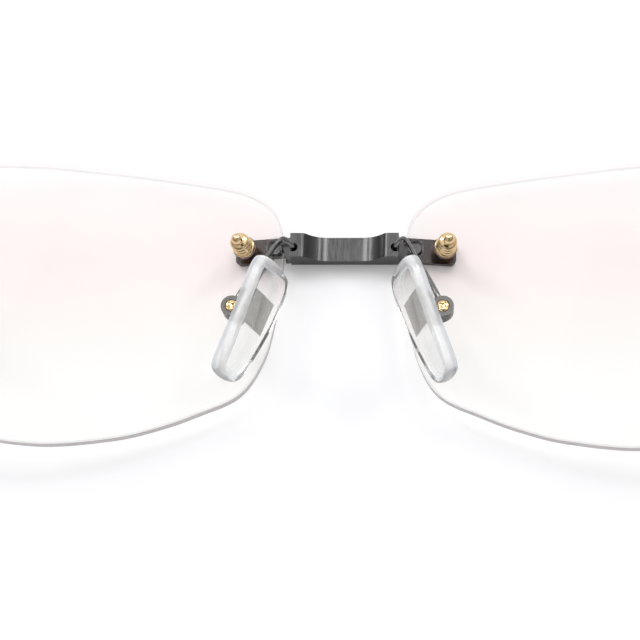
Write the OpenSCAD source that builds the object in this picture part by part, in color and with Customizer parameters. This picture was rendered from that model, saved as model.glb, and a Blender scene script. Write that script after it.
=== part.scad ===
// Rimless drill-mounted spectacles, resting front face down with the temples open.
// +X is the wearer's right, +Y is up to the brow and +Z points back to the wearer.
// The origin is midway between the lenses, on the plane that their fronts touch.
// Each paired piece is drawn for the wearer's right side and mirrored for the left.

/* [Lenses] */
// Radius of a lens's front surface
lens_r = 95; // [93:0.5:97]
// Thickness of a lens
lens_t = 1.7; // [1.6:0.1:1.8]
// Where a lens's front is lowest, across the frame
lens_low_x = 29.5; // [29:0.5:30]
// Where a lens's front is lowest, up the frame
lens_low_y = 3.7; // [3.2:0.5:4.2]
// Radius of the drilled holes
lens_hole_r = 0.75; // [0.74:0.01:0.8]

/* [Bridge] */
// Height of the bridge bar above the lenses' middle
bar_y = 8.1; // [7.9:0.1:8.3]
// Height of the bar's face
bar_h = 3.4; // [3.3:0.1:3.6]
// Thickness of the plates in front of the lenses
plate_t = 0.8; // [0.7:0.05:0.85]
// Distance of each nasal screw from the middle
nasal_x = 13.2; // [13:0.1:13.3]
// Half width of the bridge's central block
block_x = 7.3; // [7.2:0.1:7.4]
// Level of the humps at the block's ends
hump_z = 4.25; // [4.1:0.05:4.4]
// Level of the hollow between the humps
hollow_z = 2.5; // [2.3:0.05:2.7]

/* [Nose pads] */
// Angle of a pad's length from upright, seen from behind
pad_frontal = 21.7; // [21:0.1:22]
// Lean of a pad's top towards the wearer
pad_lean = 2.7; // [2:0.1:3]
// Turn of a pad's face towards the wearer
pad_splay = 20.5; // [20:0.1:21]
// Thickness of a pad
pad_t = 1.9; // [1.8:0.1:1.9]
// Length of a pad
pad_l = 16.8; // [16.6:0.1:17]
// Thickness of the wire of the pad arms
arm_d = 0.84; // [0.8:0.02:0.86]

/* [End pieces and temples] */
// Distance of each temporal screw from the middle
temporal_x = 59.5; // [59.3:0.1:59.7]
// Height of the hinge line above the lenses' middle
temple_y = 8.7; // [8.5:0.1:8.9]
// Inner face of the end piece and the temple
leg_x = 65.2; // [65.1:0.1:65.4]
// Level at which the temple meets the end piece
butt_z = 12.5; // [12.4:0.1:12.6]
// Length of a temple's straight part
temple_l = 96; // [94:1:98]
// Radius of a temple tip
tip_r = 1.6; // [1.5:0.05:1.7]

/* [Hidden] */
$fn = 48;

gunmetal = [0.36, 0.36, 0.37];
gold = [0.83, 0.64, 0.33];
clear = [0.86, 0.88, 0.88];
tint = [0.95, 0.90, 0.90];
smoke = [0.12, 0.12, 0.13];

// Small gap that keeps neighbouring solids from overlapping
gap = 0.02;
// Outline of the right lens through its turning points, from the nasal side round
lens_points = [
    [8.2, 8.2], [8.2, 4.2], [8.7, -1.5], [10, -8], [13, -13.2], [18.6, -15.9], [24, -17.9],
    [30, -19.4], [40, -20.4], [50, -18.8], [58, -13.4], [63.3, -5.4], [65, 3], [63.9, 11],
    [59.2, 16.8], [51.5, 19.7], [42, 20.4], [31, 19.6], [20, 17.9], [13, 15.9], [9.3, 12.6]
];
lens_centre = [lens_low_x, lens_low_y, lens_r];
nasal_at = [nasal_x, bar_y];
temporal_at = [temporal_x, temple_y];
// The notch in the nasal edge, and the lug of the bridge that sits in it
notch_r = 0.97;
notch_x = 9.45;
lug_r = 0.88;
// The bridge block's flat hump and the level middle of its hollow
hump_w = 1.85;
hollow_half = 2.4;
// Screw and sleeve of each lens mount
screw_r = 0.55;
screw_hole_r = 0.56;
screw_l = 3.5;
sleeve_flange_r = 1.6;
sleeve_flange_t = 0.3;
// Pad assembly, in the pad's own frame: X to its back edge, Y to its top, Z to the nose
pad_at = [11.2, -5.65, 11.1];
pad_outline = [
    [4.5, 5], [3.9, 0], [3.6, -5], [3.3, -7.3], [2.4, -8.2], [0.6, -pad_l / 2], [-1.3, -8], [-2.3, -7],
    [-3, -5], [-3.9, 0], [-4, 4.8], [-3.5, 6.9], [-2.3, 8], [0.6, pad_l / 2], [3.4, 8.2], [4.4, 7.3]
];
box_at = [0.7, 0.95, -2.95];
box_turn = -18;
box_lean = -2;
box_r = 1.4;
box_l = 2.6;
box_face = 1.05;
arm_seat = 0.45;
slot_w = 1.1;
neck_t = 0.9;
neck_w = 1.2;
eye_r = 0.8;
pad_screw_r = 0.4;
pad_head_r = 0.82;
head_seat = 0.45;
insert_size = [5.8, 4.6, 0.5];
insert_y = 1.7;
insert_tilt = 6;
// Hinge: knuckles round one screw, on the inside of the end piece and temple
knuckle_r = 1.25;
hinge_reach = 1.35;
hinge_x = leg_x - hinge_reach;
knuckle_half = 1.75;
middle_half = 0.6;
hinge_screw_r = 0.5;
hinge_clearance = 0.04;
hinge_web = 2.2;
hinge_gap = 0.05;
leg_t = 1.7;
leg_h = 3.4;
// Temple and its tip
bar_end_z = butt_z + temple_l - 26;
bend_z = butt_z + temple_l;
bend_r = 30;
// A bend with a sine of 3/5 and a cosine of 4/5 keeps the joins of its ends exact
tip_bend = asin(3 / 5);
tip_end_l = 22;
core_r = 0.6;
core_end_l = 14;
arm_centre_x = leg_x + leg_t / 2;

function turn_x(p, a) = [p.x, p.y * cos(a) - p.z * sin(a), p.y * sin(a) + p.z * cos(a)];
function turn_y(p, a) = [p.x * cos(a) + p.z * sin(a), p.y, p.z * cos(a) - p.x * sin(a)];
function turn_z(p, a) = [p.x * cos(a) - p.y * sin(a), p.x * sin(a) + p.y * cos(a), p.z];

// A smooth curve through four neighbours, and through a whole list, closed or open
function curve(a, b, c, d, t) =
    ((b * 2) + (c - a) * t + (a * 2 - b * 5 + c * 4 - d) * t * t
     + (b * 3 - a - c * 3 + d) * t * t * t) / 2;
function closed_curve(p, steps) = let (n = len(p)) [
    for (i = [0 : n - 1], k = [0 : steps - 1])
        curve(p[(i + n - 1) % n], p[i], p[(i + 1) % n], p[(i + 2) % n], k / steps)
];
function open_curve(p, steps) = let (n = len(p)) [
    for (i = [0 : n - 2], k = [0 : i == n - 2 ? steps : steps - 1])
        curve(p[max(i - 1, 0)], p[i], p[i + 1], p[min(i + 2, n - 1)], k / steps)
];
function unit(v) = v / norm(v);

// A round wire swept along a path, as one closed mesh
module wire(path, r, sides = 12) {
    n = len(path);
    rings = [for (i = [0 : n - 1])
        let (t = unit(path[min(i + 1, n - 1)] - path[max(i - 1, 0)]),
             u = unit(cross(t, [1, 0, 0])),
             w = cross(t, u))
        for (k = [0 : sides - 1])
            path[i] + r * (cos(k * 360 / sides) * u + sin(k * 360 / sides) * w)];
    walls = [for (i = [0 : n - 2], k = [0 : sides - 1])
        let (a = i * sides + k, b = i * sides + (k + 1) % sides)
        [a, a + sides, b + sides, b]];
    ends = [[for (k = [0 : sides - 1]) k], [for (k = [sides - 1 : -1 : 0]) (n - 1) * sides + k]];
    polyhedron(points = rings, faces = concat(walls, ends));
}

module left() mirror([1, 0, 0]) children();

// A plate with four round corners, standing on z = 0
module round_plate(size, r) {
    linear_extrude(size.z) union() {
        square([size.x - 2 * r, size.y], center = true);
        square([size.x, size.y - 2 * r], center = true);
        for (x = [-1, 1], y = [-1, 1])
            translate([x * (size.x / 2 - r), y * (size.y / 2 - r)]) circle(r);
    }
}

// Moves onto a lens's front surface, with Z square to it and pointing back
module on_lens(at) {
    dx = lens_low_x - at.x;
    dy = lens_low_y - at.y;
    lean = asin(dy / lens_r);
    z = lens_r - sqrt(lens_r * lens_r - dx * dx - dy * dy);
    translate([at.x, at.y, z]) rotate([-lean, asin(dx / lens_r / cos(lean)), 0]) children();
}

// Moves into the right nose pad's own frame, and the same for a point
module in_pad() {
    translate(pad_at) rotate([0, 0, pad_frontal]) rotate([pad_lean, 0, 0])
        rotate([0, pad_splay - 90, 0]) children();
}
function in_pad(p) = pad_at + turn_z(turn_x(turn_y(p, pad_splay - 90), pad_lean), pad_frontal);
// Moves into the pad box's frame, with its screw along Z and the pad at -X, and the same for a point
module in_box() {
    in_pad() translate(box_at) rotate([0, 90 + box_turn, 0]) rotate([box_lean, 0, 0]) children();
}
function in_box(p) = in_pad(box_at + turn_y(turn_x(p, box_lean), 90 + box_turn));

// Route of the right pad arm: out of the bridge, over, back and down into the pad box
arm_points = [
    [6.9, 7.75, 2.9], [6.9, 7.75, 3.7], [6.95, 7.85, 4.4], [7.4, 8.15, 5.3], [8.2, 8.1, 6],
    [9, 6.9, 6.6], [9.65, 5.4, 7.3], [10.8, 2.8, 8.9], [11.9, 0.5, 10.1],
    in_box([0, box_r + 1, 0]), in_box([0, box_r, 0]), in_box([0, box_r + 0.05 - arm_seat, 0])
];

// ---- Lenses ----

module lens() {
    color(tint, 0.4) difference() {
        intersection() {
            translate([0, 0, -1]) linear_extrude(20) polygon(closed_curve(lens_points, 6));
            translate(lens_centre) difference() {
                sphere(lens_r, $fn = 240);
                sphere(lens_r - lens_t, $fn = 240);
            }
        }
        for (at = [nasal_at, temporal_at])
            on_lens(at) translate([0, 0, -2]) cylinder(r = lens_hole_r, h = 8);
        translate([notch_x, bar_y, -1]) {
            cylinder(r = notch_r, h = 12);
            translate([-4, -notch_r, 0]) cube([4, 2 * notch_r, 12]);
        }
    }
}
module lens_right() { lens(); }
module lens_left() { left() lens(); }

// ---- Bridge ----

function block_top(x) =
    let (hump_x = block_x - hump_w, t = max(0, (abs(x) - hollow_half) / (hump_x - hollow_half)))
    abs(x) > hump_x ? hump_z : hollow_z + (hump_z - hollow_z) * t * t;

module bridge_block() {
    steps = 40;
    under_z = 1.2;
    chamfer = 0.25;
    top = [for (i = [0 : steps]) let (x = (block_x - chamfer) * (1 - 2 * i / steps)) [x, block_top(x)]];
    sides = [
        [-block_x, hump_z - chamfer], [-block_x, under_z + chamfer], [chamfer - block_x, under_z],
        [block_x - chamfer, under_z], [block_x, under_z + chamfer], [block_x, hump_z - chamfer]
    ];
    translate([0, bar_y + bar_h / 2, 0]) rotate([90, 0, 0])
        linear_extrude(bar_h) polygon(concat(top, sides));
}

module bridge_plate() {
    outer = 1.75;
    inner = nasal_x - block_x + 0.8;
    on_lens(nasal_at) translate([(outer - inner) / 2, 0, -plate_t - gap])
        round_plate([outer + inner, bar_h, plate_t], 0.7);
    // The lug that stops the lens turning on its one screw
    translate([notch_x - gap, bar_y, 1.9]) cylinder(r = lug_r, h = 1.1);
}

module bridge() {
    hole_depth = 1.5;
    arm_hole_r = 0.65;
    relief_at = [8, bar_y - bar_h];
    relief_size = [1.8, bar_h / 2 + 0.8, 5];
    color(gunmetal) difference() {
        union() {
            bridge_block();
            bridge_plate();
            left() bridge_plate();
        }
        for (side = [0, 1]) mirror([side, 0, 0]) {
            on_lens(nasal_at) translate([0, 0, -3]) cylinder(r = screw_hole_r, h = 6);
            translate([arm_points[0].x, arm_points[0].y, hump_z - hole_depth])
                cylinder(r = arm_hole_r, h = 5);
            // Relief under the plate, between the lug and the lower edge
            translate(relief_at) cube(relief_size);
        }
    }
}

// ---- Lens mounts: screw from the front, plastic sleeve and stepped cap nut ----

module mount_screw() {
    head_r = 1.1;
    head_t = 0.42;
    slot = [2 * head_r, 0.3];
    color(gold) difference() {
        union() {
            translate([0, 0, -plate_t - gap - head_t]) cylinder(r = head_r, h = head_t);
            translate([0, 0, -plate_t - gap]) cylinder(r = screw_r, h = plate_t + gap + screw_l);
        }
        translate([-slot.x / 2, -slot.y / 2, -plate_t - gap - head_t - 1]) cube([slot.x, slot.y, 1.2]);
    }
}

module mount_sleeve() {
    color(clear) difference() {
        union() {
            cylinder(r = lens_hole_r - 0.01, h = lens_t + sleeve_flange_t);
            translate([0, 0, lens_t + gap]) cylinder(r = sleeve_flange_r, h = sleeve_flange_t);
        }
        translate([0, 0, -1]) cylinder(r = screw_hole_r, h = 6);
    }
}

module mount_nut() {
    base_r = 1.5;
    base_h = 0.45;
    rings = 3;
    ring_h = 0.72;
    ring_r = 1.44;
    ring_step = 0.07;
    groove = 0.2;
    neck_r = 0.65;
    neck_h = 0.2;
    knob_r = 0.76;
    top = base_h + rings * ring_h;
    bore_end = 0.1;
    color(gold) translate([0, 0, lens_t + gap + sleeve_flange_t]) difference() {
        union() {
            cylinder(r = base_r, h = base_h);
            for (i = [0 : rings - 1]) translate([0, 0, base_h + i * ring_h]) {
                r = ring_r - ring_step * i;
                cylinder(r1 = r - groove, r2 = r, h = ring_h / 2);
                translate([0, 0, ring_h / 2]) cylinder(r1 = r, r2 = r - ring_step, h = ring_h / 2);
            }
            translate([0, 0, top]) cylinder(r = neck_r, h = neck_h);
            translate([0, 0, top + neck_h + knob_r * 0.78]) sphere(knob_r);
        }
        translate([0, 0, -1])
            cylinder(r = screw_hole_r, h = 1 + screw_l - lens_t - sleeve_flange_t + bore_end);
    }
}

module nasal_screw_right() { on_lens(nasal_at) mount_screw(); }
module nasal_screw_left() { left() on_lens(nasal_at) mount_screw(); }
module nasal_sleeve_right() { on_lens(nasal_at) mount_sleeve(); }
module nasal_sleeve_left() { left() on_lens(nasal_at) mount_sleeve(); }
module nasal_nut_right() { on_lens(nasal_at) mount_nut(); }
module nasal_nut_left() { left() on_lens(nasal_at) mount_nut(); }
module temporal_screw_right() { on_lens(temporal_at) mount_screw(); }
module temporal_screw_left() { left() on_lens(temporal_at) mount_screw(); }
module temporal_sleeve_right() { on_lens(temporal_at) mount_sleeve(); }
module temporal_sleeve_left() { left() on_lens(temporal_at) mount_sleeve(); }
module temporal_nut_right() { on_lens(temporal_at) mount_nut(); }
module temporal_nut_left() { left() on_lens(temporal_at) mount_nut(); }

// ---- Nose pads ----

module pad_arm() { color(gunmetal) wire(open_curve(arm_points, 5), arm_d / 2); }
module pad_arm_right() { pad_arm(); }
module pad_arm_left() { left() pad_arm(); }

// A round cup across the pad arm's end, slotted towards the pad for the insert's eye
module pad_box() {
    slot_end = eye_r + 0.1;
    slot_h = 2 * eye_r + 0.3;
    color(gunmetal) in_box() difference() {
        union() {
            cylinder(r = box_r, h = box_l, center = true);
            translate([-box_face, -box_r, -box_l / 2]) cube([box_face, 2 * box_r, box_l]);
        }
        translate([-3, -slot_h / 2, -slot_w / 2]) cube([3 + slot_end, slot_h, slot_w]);
        translate([0, 0, -3]) cylinder(r = pad_screw_r + 0.01, h = 6);
        translate([0, 0, box_l / 2 - head_seat]) cylinder(r = pad_head_r + 0.02, h = 2);
        translate([0, box_r - arm_seat, 0]) rotate([-90, 0, 0]) cylinder(r = arm_d / 2 + 0.03, h = 3);
    }
}
module pad_box_right() { pad_box(); }
module pad_box_left() { left() pad_box(); }

module pad_screw() {
    head_h = 0.55;
    cross = [1, 0.2];
    color(gold) in_box() difference() {
        union() {
            translate([0, 0, box_l / 2 - head_seat]) cylinder(r = pad_head_r, h = head_h);
            translate([0, 0, -box_l / 2]) cylinder(r = pad_screw_r, h = box_l - head_seat);
        }
        for (turn = [30, 120]) rotate([0, 0, turn])
            translate([-cross.x / 2, -cross.y / 2, box_l / 2 - 0.15]) cube([cross.x, cross.y, 1]);
    }
}
module pad_screw_right() { pad_screw(); }
module pad_screw_left() { left() pad_screw(); }

// The metal plate inside the pad: two leaves, a neck and an eye for the screw
module insert_leaves() {
    half = insert_size.x / 2;
    in_pad() for (side = [-1, 1]) rotate([0, side * insert_tilt, 0])
        translate([(side - 1) * half / 2, insert_y - insert_size.y / 2, -insert_size.z / 2])
            cube([half, insert_size.y, insert_size.z]);
}
module insert_neck() {
    neck_l = -box_at.z / cos(box_turn);
    in_box() translate([-neck_l, -neck_w / 2, -neck_t / 2]) cube([neck_l, neck_w, neck_t]);
}
module pad_insert() {
    color([0.62, 0.61, 0.58]) difference() {
        union() {
            insert_leaves();
            insert_neck();
            in_box() cylinder(r = eye_r, h = neck_t, center = true);
        }
        in_box() cylinder(r = pad_screw_r + hinge_clearance, h = 3, center = true);
    }
}
module pad_insert_right() { pad_insert(); }
module pad_insert_left() { left() pad_insert(); }

module nose_pad() {
    dish = 0.3;
    color(clear, 0.6) difference() {
        in_pad() translate([0, 0, -pad_t / 2]) linear_extrude(pad_t) polygon(closed_curve(pad_outline, 5));
        // The shallow dish in the face, inside the rim
        in_pad() translate([0, 0, pad_t / 2 - dish]) linear_extrude(1)
            scale([0.72, 0.85, 1]) polygon(closed_curve(pad_outline, 3));
        insert_leaves();
        insert_neck();
    }
}
module nose_pad_right() { nose_pad(); }
module nose_pad_left() { left() nose_pad(); }

// ---- End pieces and hinges ----

module end_piece() {
    inner = 1.8;
    outer = 6.6;
    foot_z = 6.8;
    color(gunmetal) difference() {
        union() {
            on_lens(temporal_at) translate([(outer - inner) / 2, 0, -plate_t - gap])
                round_plate([outer + inner, leg_h, plate_t], 0.7);
            translate([leg_x, temple_y - leg_h / 2, foot_z]) cube([leg_t, leg_h, butt_z - foot_z]);
            translate([leg_x + 0.1, temple_y + leg_h / 2, foot_z]) rotate([90, 0, 0])
                linear_extrude(leg_h) intersection() {
                    circle(leg_t - 0.1);
                    translate([0, -5]) square([5, 5.1]);
                }
        }
        on_lens(temporal_at) translate([0, 0, -3]) cylinder(r = screw_hole_r, h = 6);
    }
}
module end_piece_right() { end_piece(); }
module end_piece_left() { left() end_piece(); }

// One knuckle with its web out to the inner face of the end piece or temple
module knuckle(low_y, high_y, web_low_z, web_high_z, bore_r) {
    translate([hinge_x, temple_y + high_y, butt_z]) rotate([90, 0, 0]) difference() {
        union() {
            cylinder(r = knuckle_r, h = high_y - low_y);
            translate([0, web_low_z, 0]) cube([hinge_reach, web_high_z - web_low_z, high_y - low_y]);
        }
        translate([0, 0, -1]) cylinder(r = bore_r, h = 6);
    }
}

module hinge_front() {
    height = knuckle_half - middle_half - hinge_gap;
    color(gunmetal) for (low = [-knuckle_half, middle_half + hinge_gap])
        knuckle(low, low + height, -hinge_web, -hinge_gap, hinge_screw_r + 0.01);
}
module hinge_front_right() { hinge_front(); }
module hinge_front_left() { left() hinge_front(); }

module hinge_back() {
    color(gunmetal)
        knuckle(-middle_half, middle_half, hinge_gap, hinge_web, hinge_screw_r + hinge_clearance);
}
module hinge_back_right() { hinge_back(); }
module hinge_back_left() { left() hinge_back(); }

module hinge_screw() {
    head_h = 0.5;
    head_r = 0.95;
    slot_t = 0.28;
    color(gold) translate([hinge_x, temple_y - knuckle_half, butt_z]) rotate([-90, 0, 0]) difference() {
        union() {
            cylinder(r = hinge_screw_r, h = 2 * knuckle_half);
            translate([0, 0, 2 * knuckle_half]) cylinder(r = head_r, h = head_h);
        }
        translate([-head_r, -slot_t / 2, 2 * knuckle_half + head_h / 2]) cube([2 * head_r, slot_t, 1]);
    }
}
module hinge_screw_right() { hinge_screw(); }
module hinge_screw_left() { left() hinge_screw(); }

// ---- Temples ----

// Moves to the far end of the bend behind the ear, with Z along the temple
module at_tip() {
    translate([arm_centre_x, temple_y, bend_z])
        translate([0, -bend_r * (1 - cos(tip_bend)), bend_r * sin(tip_bend)])
            rotate([tip_bend, 0, 0]) children();
}

// A round section taken round the bend behind the ear, then straight on
module along_bend(r, end_l) {
    translate([arm_centre_x, temple_y, bend_z]) translate([0, -bend_r, 0]) rotate([90, 0, 90])
        rotate_extrude(angle = tip_bend, $fn = 96) translate([bend_r, 0]) circle(r);
    at_tip() linear_extrude(end_l) circle(r);
}

module temple() {
    taper_z = butt_z + 16;
    bar_t = 1.15;
    bar_w = 2.6;
    start = butt_z + hinge_gap;
    narrow_z = taper_z + 6;
    full_l = 5;
    nose = 0.6;
    color(gunmetal) {
        intersection() {
            translate([0, temple_y + 3, 0]) rotate([90, 0, 0]) linear_extrude(6) polygon([
                [leg_x, start], [leg_x + leg_t, start], [arm_centre_x + bar_t / 2, taper_z],
                [arm_centre_x + bar_t / 2, bar_end_z], [arm_centre_x - bar_t / 2, bar_end_z],
                [arm_centre_x - bar_t / 2, taper_z], [leg_x, start + 4]
            ]);
            translate([leg_x - 1, temple_y, 0]) rotate([90, 0, 90]) linear_extrude(4) polygon([
                [-leg_h / 2, start], [leg_h / 2, start], [leg_h / 2, start + full_l],
                [bar_w / 2, narrow_z], [bar_w / 2, bar_end_z - 1], [bar_w / 2 - nose, bar_end_z],
                [nose - bar_w / 2, bar_end_z], [-bar_w / 2, bar_end_z - 1], [-bar_w / 2, narrow_z],
                [-leg_h / 2, start + full_l]
            ]);
        }
        translate([arm_centre_x, temple_y, bar_end_z - nose])
            cylinder(r = core_r, h = bend_z - bar_end_z + nose);
        along_bend(core_r, core_end_l);
    }
}
module temple_right() { temple(); }
module temple_left() { left() temple(); }

// A round sleeve over the end of the temple, hollow as far as its core reaches
module temple_tip() {
    cuff_h = 3;
    cuff_r = 1.25;
    color(smoke) difference() {
        union() {
            translate([arm_centre_x, temple_y, bar_end_z]) rotate_extrude() polygon([
                [0, 0], [cuff_r, 0], [tip_r, cuff_h], [tip_r, bend_z - bar_end_z], [0, bend_z - bar_end_z]
            ]);
            along_bend(tip_r, tip_end_l);
            at_tip() translate([0, 0, tip_end_l]) rotate_extrude() polygon([
                [0, -2], [core_r, -2], [core_r, 0], for (a = [0 : 15 : 90]) tip_r * [cos(a), sin(a)]
            ]);
        }
        translate([arm_centre_x, temple_y, bar_end_z - 1]) cylinder(r = core_r, h = bend_z - bar_end_z + 1);
        along_bend(core_r, core_end_l);
    }
}
module temple_tip_right() { temple_tip(); }
module temple_tip_left() { left() temple_tip(); }

lens_right();
lens_left();
bridge();
nasal_screw_right();
nasal_screw_left();
nasal_sleeve_right();
nasal_sleeve_left();
nasal_nut_right();
nasal_nut_left();
pad_arm_right();
pad_arm_left();
pad_box_right();
pad_box_left();
pad_screw_right();
pad_screw_left();
pad_insert_right();
pad_insert_left();
nose_pad_right();
nose_pad_left();
end_piece_right();
end_piece_left();
temporal_screw_right();
temporal_screw_left();
temporal_sleeve_right();
temporal_sleeve_left();
temporal_nut_right();
temporal_nut_left();
hinge_front_right();
hinge_front_left();
hinge_back_right();
hinge_back_left();
hinge_screw_right();
hinge_screw_left();
temple_right();
temple_left();
temple_tip_right();
temple_tip_left();
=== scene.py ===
import math

import bmesh
import bpy
from mathutils import Matrix, Vector
from mathutils.geometry import delaunay_2d_cdt

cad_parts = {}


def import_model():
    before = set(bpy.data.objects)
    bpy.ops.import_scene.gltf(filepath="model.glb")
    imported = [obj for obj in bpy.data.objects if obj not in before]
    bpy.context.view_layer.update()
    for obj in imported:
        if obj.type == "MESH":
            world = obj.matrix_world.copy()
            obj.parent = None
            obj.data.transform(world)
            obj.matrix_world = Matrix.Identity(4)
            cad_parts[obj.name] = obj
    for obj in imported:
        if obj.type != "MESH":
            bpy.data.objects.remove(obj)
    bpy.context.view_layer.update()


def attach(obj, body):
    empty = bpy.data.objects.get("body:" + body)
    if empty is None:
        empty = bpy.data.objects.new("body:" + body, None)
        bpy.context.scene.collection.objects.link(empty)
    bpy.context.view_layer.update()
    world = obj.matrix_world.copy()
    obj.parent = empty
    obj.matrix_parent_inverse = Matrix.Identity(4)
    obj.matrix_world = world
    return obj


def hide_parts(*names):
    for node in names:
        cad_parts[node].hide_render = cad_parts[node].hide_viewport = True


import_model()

# ---------------------------------------------------------------- sizes
# All sizes are in millimetres; MM turns them into the scene's metres.
# +X is the wearer's right, +Y the brow, +Z back to the wearer.
MM = 0.001

LENS_R, LENS_T = 95.0, 1.7
LENS_LOW = (29.5, 3.7)
BAR_Y, BAR_H, PLATE_T = 8.1, 3.4, 0.8
BLOCK_X, HUMP_W, HUMP_Z, HOLLOW_Z, UNDER_Z = 7.3, 1.85, 4.25, 2.5, 1.2
NASAL = (13.2, BAR_Y)
TEMPORAL = (59.5, 8.7)
GAP = 0.02
LENS_OUTLINE = [
    (8.2, 8.2), (8.2, 4.2), (8.7, -1.5), (10, -8), (13, -13.2), (18.6, -15.9), (24, -17.9),
    (30, -19.4), (40, -20.4), (50, -18.8), (58, -13.4), (63.3, -5.4), (65, 3), (63.9, 11),
    (59.2, 16.8), (51.5, 19.7), (42, 20.4), (31, 19.6), (20, 17.9), (13, 15.9), (9.3, 12.6),
]
NOTCH_X, NOTCH_R, LUG_R = 9.45, 0.97, 0.88
SCREW_HEAD_T, FLANGE_T = 0.42, 0.3

PAD_AT = (11.2, -5.65, 11.1)
PAD_FRONTAL, PAD_LEAN, PAD_SPLAY = 21.7, 2.7, 20.5
PAD_T, PAD_L = 1.9, 16.8
PAD_OUTLINE = [
    (4.4, 7.3), (3.4, 8.2), (0.6, PAD_L / 2), (-2.3, 8), (-3.5, 6.9), (-4, 4.8), (-3.9, 0), (-3, -5),
    (-2.3, -7), (-1.3, -8), (0.6, -PAD_L / 2), (2.4, -8.2), (3.3, -7.3), (3.6, -5), (3.9, 0), (4.5, 5),
]
INSERT_Y = 1.7
BOX_AT = (0.7, 0.95, -2.95)
BOX_TURN, BOX_LEAN = -18.0, -2.0
BOX_R, BOX_L, BOX_FACE = 1.4, 2.6, 1.05
HEAD_SEAT = 0.45
ARM_FOOT = (6.9, 7.75)
ARM_R, ARM_HOLE_R = 0.42, 0.65

LEG_X, LEG_T, LEG_H = 65.2, 1.7, 3.4
BUTT_Z = 12.5
HINGE_X, KNUCKLE_R = LEG_X - 1.35, 1.25
TEMPLE_L, BEND_R, TIP_R, TIP_END_L = 96.0, 30.0, 1.6, 22.0
BAR_END = BUTT_Z + TEMPLE_L - 26
TIP_BEND = math.asin(3 / 5)

SIDES = (("right", 1), ("left", -1))


# ---------------------------------------------------------------- geometry helpers
def curve_point(a, b, c, d, t):
    """A point on the smooth curve through four neighbours, from b to c."""
    a, b, c, d = Vector(a), Vector(b), Vector(c), Vector(d)
    return (b * 2 + (c - a) * t + (a * 2 - b * 5 + c * 4 - d) * t * t + (b * 3 - a - c * 3 + d) * t ** 3) / 2


def closed_curve(points, steps):
    """The smooth loop through the points, in order."""
    n = len(points)
    return [
        curve_point(points[i - 1], points[i], points[(i + 1) % n], points[(i + 2) % n], k / steps)
        for i in range(n)
        for k in range(steps)
    ]


def open_curve(points, steps):
    """The smooth line through the points, ending on the last one."""
    last = len(points) - 1
    path = [
        curve_point(points[max(i - 1, 0)], points[i], points[i + 1], points[min(i + 2, last)], k / steps)
        for i in range(last)
        for k in range(steps)
    ]
    return path + [Vector(points[-1])]


def lens_front(x, y):
    """Height of the lens's front surface, which touches the floor at LENS_LOW."""
    return LENS_R - math.sqrt(LENS_R ** 2 - (LENS_LOW[0] - x) ** 2 - (LENS_LOW[1] - y) ** 2)


def lens_back(x, y):
    """Height of the lens's back surface."""
    return LENS_R - math.sqrt((LENS_R - LENS_T) ** 2 - (LENS_LOW[0] - x) ** 2 - (LENS_LOW[1] - y) ** 2)


def turn(degrees, axis):
    return Matrix.Rotation(math.radians(degrees), 4, axis)


def on_lens(at):
    """The place on a lens's front surface, with Z square to it and pointing back."""
    dx, dy = LENS_LOW[0] - at[0], LENS_LOW[1] - at[1]
    lean = math.degrees(math.asin(dy / LENS_R))
    swing = math.degrees(math.asin(dx / LENS_R / math.cos(math.radians(lean))))
    place = Matrix.Translation((at[0], at[1], lens_front(*at)))
    return place @ turn(swing, "Y") @ turn(-lean, "X")


# The places of the pad and of its cup, on the right side.
IN_PAD = (
    Matrix.Translation(PAD_AT) @ turn(PAD_FRONTAL, "Z") @ turn(PAD_LEAN, "X") @ turn(PAD_SPLAY - 90, "Y")
)
IN_BOX = IN_PAD @ Matrix.Translation(BOX_AT) @ turn(90 + BOX_TURN, "Y") @ turn(BOX_LEAN, "X")


class Shape:
    """Vertices in millimetres, faces, and one material number for each face."""

    def __init__(self):
        self.verts, self.faces, self.mats = [], [], []

    def add(self, verts, faces, mat=0, place=None):
        start = len(self.verts)
        turned = place is not None and place.determinant() < 0
        self.verts += [place @ Vector(v) if place else Vector(v) for v in verts]
        self.faces += [tuple(start + i for i in (reversed(face) if turned else face)) for face in faces]
        self.mats += [mat] * len(faces)
        return self


def revolve(profile, segments=48):
    """Turns (radius, height) points round Z; ends on the axis are closed with a fan."""
    verts, rings = [], []
    for r, z in profile:
        if r < 1e-6:
            rings.append([len(verts)])
            verts.append((0, 0, z))
        else:
            rings.append(list(range(len(verts), len(verts) + segments)))
            verts += [
                (r * math.cos(2 * math.pi * k / segments), r * math.sin(2 * math.pi * k / segments), z)
                for k in range(segments)
            ]
    faces = []
    for low, high in zip(rings, rings[1:]):
        for k in range(segments):
            j = (k + 1) % segments
            if len(low) == 1 and len(high) == 1:
                continue
            if len(low) == 1:
                faces.append((low[0], high[j], high[k]))
            elif len(high) == 1:
                faces.append((low[k], low[j], high[0]))
            else:
                faces.append((low[k], low[j], high[j], high[k]))
    return verts, faces


def prism(outline, depth):
    """A flat outline, anticlockwise, raised from z = 0 to depth."""
    n = len(outline)
    verts = [(p[0], p[1], z) for z in (0, depth) for p in outline]
    walls = [(k, (k + 1) % n, n + (k + 1) % n, n + k) for k in range(n)]
    return verts, walls + [tuple(reversed(range(n))), tuple(range(n, 2 * n))]


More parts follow.
